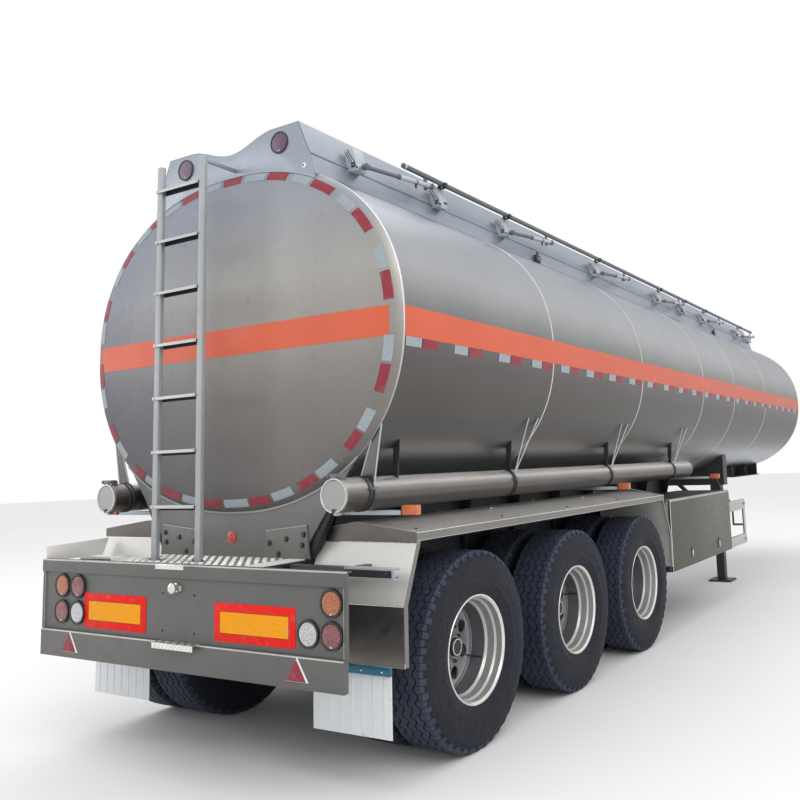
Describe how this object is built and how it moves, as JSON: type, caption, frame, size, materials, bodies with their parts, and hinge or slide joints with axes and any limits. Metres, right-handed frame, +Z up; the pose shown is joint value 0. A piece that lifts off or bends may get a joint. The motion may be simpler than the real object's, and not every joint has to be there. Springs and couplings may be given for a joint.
{
  "type": "tanker semi-trailer",
  "caption": "Road tanker semi-trailer with an elliptical tank, twin-tyred axles, opening manhole lids, toolboxes, hose tubes and a folding handrail, parked on its landing legs.",
  "frame": {"origin": "on the ground, under the middle of the trailer's length and width", "axes": "+Y forwards along the trailer, towards its kingpin; +X to its right-hand side; +Z up"},
  "size_m": [2.5, 11.002, 3.556],
  "materials": {
    "tank_metal": "brushed satin",
    "sheet_metal": "satin sheet",
    "bright_metal": "bright",
    "grey_paint": "semi-gloss",
    "dark_paint": "semi-gloss",
    "ladder_grey": "satin",
    "rail_grey": "satin",
    "tyre_rubber": "matt",
    "rim_silver": "silver",
    "flap_white": "matt"
  },
  "bodies": {
    "root": {"tank": "tank_metal", "coaming": "tank_metal", "walkway": "bright_metal", "ladder": "ladder_grey", "rear_deck": "bright_metal", "lamp_board": "grey_paint", "underrun_beam": "grey_paint", "saddle_rear": "grey_paint", "rail_right": "dark_paint", "rail_left": "dark_paint", "crossmember_1": "dark_paint", "crossmember_2": "dark_paint", "landing_gear": "dark_paint", "coupler": "dark_paint", "fender_right": "sheet_metal", "fender_left": "sheet_metal", "mud_flap_right": "flap_white", "mud_flap_left": "flap_white", "hose_tube_right": "tank_metal", "hose_tube_left": "tank_metal", "toolbox_right": "sheet_metal", "toolbox_left": "sheet_metal", "axle_1": "dark_paint", "axle_2": "dark_paint", "axle_3": "dark_paint"},
    "manhole_lid_1": {"manhole_lid_1": "bright_metal"},
    "manhole_lid_2": {"manhole_lid_2": "bright_metal"},
    "manhole_lid_3": {"manhole_lid_3": "bright_metal"},
    "manhole_lid_4": {"manhole_lid_4": "bright_metal"},
    "manhole_lid_5": {"manhole_lid_5": "bright_metal"},
    "manhole_lid_6": {"manhole_lid_6": "bright_metal"},
    "handrail_post_1": {"handrail_post_1": "rail_grey"},
    "handrail_post_2": {"handrail_post_2": "rail_grey"},
    "handrail_post_3": {"handrail_post_3": "rail_grey"},
    "handrail_post_4": {"handrail_post_4": "rail_grey"},
    "handrail_post_5": {"handrail_post_5": "rail_grey"},
    "handrail_post_6": {"handrail_post_6": "rail_grey"},
    "handrail": {"handrail": "rail_grey"},
    "tube_lid_right": {"tube_lid_right": "bright_metal"},
    "tube_lid_left": {"tube_lid_left": "bright_metal"},
    "toolbox_door_right": {"toolbox_door_right": "sheet_metal"},
    "toolbox_door_left": {"toolbox_door_left": "sheet_metal"},
    "wheel_1_right": {"wheel_1_right": "rim_silver", "tyre_1_right_outer": "tyre_rubber", "tyre_1_right_inner": "tyre_rubber"},
    "wheel_1_left": {"wheel_1_left": "rim_silver", "tyre_1_left_outer": "tyre_rubber", "tyre_1_left_inner": "tyre_rubber"},
    "wheel_2_right": {"wheel_2_right": "rim_silver", "tyre_2_right_outer": "tyre_rubber", "tyre_2_right_inner": "tyre_rubber"},
    "wheel_2_left": {"wheel_2_left": "rim_silver", "tyre_2_left_outer": "tyre_rubber", "tyre_2_left_inner": "tyre_rubber"},
    "wheel_3_right": {"wheel_3_right": "rim_silver", "tyre_3_right_outer": "tyre_rubber", "tyre_3_right_inner": "tyre_rubber"},
    "wheel_3_left": {"wheel_3_left": "rim_silver", "tyre_3_left_outer": "tyre_rubber", "tyre_3_left_inner": "tyre_rubber"}
  },
  "joints": [
    {"name": "manhole_lid_1_hinge", "type": "hinge", "parent": "root", "child": "manhole_lid_1", "pos_m": [0, -3.983, 3.4168], "axis": [-1, 0, 0], "range_deg": [0, 100]},
    {"name": "manhole_lid_2_hinge", "type": "hinge", "parent": "root", "child": "manhole_lid_2", "pos_m": [0, -2.263, 3.4168], "axis": [-1, 0, 0], "range_deg": [0, 100]},
    {"name": "manhole_lid_3_hinge", "type": "hinge", "parent": "root", "child": "manhole_lid_3", "pos_m": [0, -0.543, 3.4168], "axis": [-1, 0, 0], "range_deg": [0, 100]},
    {"name": "manhole_lid_4_hinge", "type": "hinge", "parent": "root", "child": "manhole_lid_4", "pos_m": [0, 1.177, 3.4168], "axis": [-1, 0, 0], "range_deg": [0, 100]},
    {"name": "manhole_lid_5_hinge", "type": "hinge", "parent": "root", "child": "manhole_lid_5", "pos_m": [0, 2.897, 3.4168], "axis": [-1, 0, 0], "range_deg": [0, 100]},
    {"name": "manhole_lid_6_hinge", "type": "hinge", "parent": "root", "child": "manhole_lid_6", "pos_m": [0, 4.617, 3.4168], "axis": [-1, 0, 0], "range_deg": [0, 100]},
    {"name": "handrail_post_1_hinge", "type": "hinge", "parent": "root", "child": "handrail_post_1", "pos_m": [0.75, -4.751, 3.3425], "axis": [1, 0, 0], "range_deg": [0, 84]},
    {"name": "handrail_post_2_hinge", "type": "hinge", "parent": "root", "child": "handrail_post_2", "pos_m": [0.75, -3.001, 3.3425], "axis": [1, 0, 0], "range_deg": [0, 84]},
    {"name": "handrail_post_3_hinge", "type": "hinge", "parent": "root", "child": "handrail_post_3", "pos_m": [0.75, -1.251, 3.3425], "axis": [1, 0, 0], "range_deg": [0, 84]},
    {"name": "handrail_post_4_hinge", "type": "hinge", "parent": "root", "child": "handrail_post_4", "pos_m": [0.75, 0.499, 3.3425], "axis": [1, 0, 0], "range_deg": [0, 84]},
    {"name": "handrail_post_5_hinge", "type": "hinge", "parent": "root", "child": "handrail_post_5", "pos_m": [0.75, 2.249, 3.3425], "axis": [1, 0, 0], "range_deg": [0, 84]},
    {"name": "handrail_post_6_hinge", "type": "hinge", "parent": "root", "child": "handrail_post_6", "pos_m": [0.75, 3.999, 3.3425], "axis": [1, 0, 0], "range_deg": [0, 84]},
    {"name": "handrail_level", "type": "hinge", "parent": "handrail_post_3", "child": "handrail", "pos_m": [0.7, -0.576, 3.4095], "axis": [1, 0, 0], "range_deg": [-84, 0]},
    {"name": "tube_lid_right_hinge", "type": "hinge", "parent": "root", "child": "tube_lid_right", "pos_m": [0.954, -5.275, 1.5405], "axis": [-1, 0, 0], "range_deg": [0, 100]},
    {"name": "tube_lid_left_hinge", "type": "hinge", "parent": "root", "child": "tube_lid_left", "pos_m": [-0.954, -5.201, 1.5405], "axis": [-1, 0, 0], "range_deg": [0, 100]},
    {"name": "toolbox_door_right_hinge", "type": "hinge", "parent": "root", "child": "toolbox_door_right", "pos_m": [1.2243, -0.101, 1.179], "axis": [0, -1, 0], "range_deg": [0, 100]},
    {"name": "toolbox_door_left_hinge", "type": "hinge", "parent": "root", "child": "toolbox_door_left", "pos_m": [-1.2243, -0.101, 1.179], "axis": [0, 1, 0], "range_deg": [0, 100]},
    {"name": "wheel_1_right_spin", "type": "hinge", "parent": "root", "child": "wheel_1_right", "pos_m": [0.921, -4.398, 0.5425], "axis": [1, 0, 0], "continuous": true},
    {"name": "wheel_1_left_spin", "type": "hinge", "parent": "root", "child": "wheel_1_left", "pos_m": [-0.921, -4.398, 0.5425], "axis": [1, 0, 0], "continuous": true},
    {"name": "wheel_2_right_spin", "type": "hinge", "parent": "root", "child": "wheel_2_right", "pos_m": [0.921, -3.088, 0.5425], "axis": [1, 0, 0], "continuous": true},
    {"name": "wheel_2_left_spin", "type": "hinge", "parent": "root", "child": "wheel_2_left", "pos_m": [-0.921, -3.088, 0.5425], "axis": [1, 0, 0], "continuous": true},
    {"name": "wheel_3_right_spin", "type": "hinge", "parent": "root", "child": "wheel_3_right", "pos_m": [0.921, -1.778, 0.5425], "axis": [1, 0, 0], "continuous": true},
    {"name": "wheel_3_left_spin", "type": "hinge", "parent": "root", "child": "wheel_3_left", "pos_m": [-0.921, -1.778, 0.5425], "axis": [1, 0, 0], "continuous": true}
  ],
  "couplings": [
    {"joint": "handrail_post_1_hinge", "follows": "handrail_post_3_hinge", "ratio": 1},
    {"joint": "handrail_post_2_hinge", "follows": "handrail_post_3_hinge", "ratio": 1},
    {"joint": "handrail_post_4_hinge", "follows": "handrail_post_3_hinge", "ratio": 1},
    {"joint": "handrail_post_5_hinge", "follows": "handrail_post_3_hinge", "ratio": 1},
    {"joint": "handrail_post_6_hinge", "follows": "handrail_post_3_hinge", "ratio": 1},
    {"joint": "handrail_level", "follows": "handrail_post_3_hinge", "ratio": -1}
  ]
}
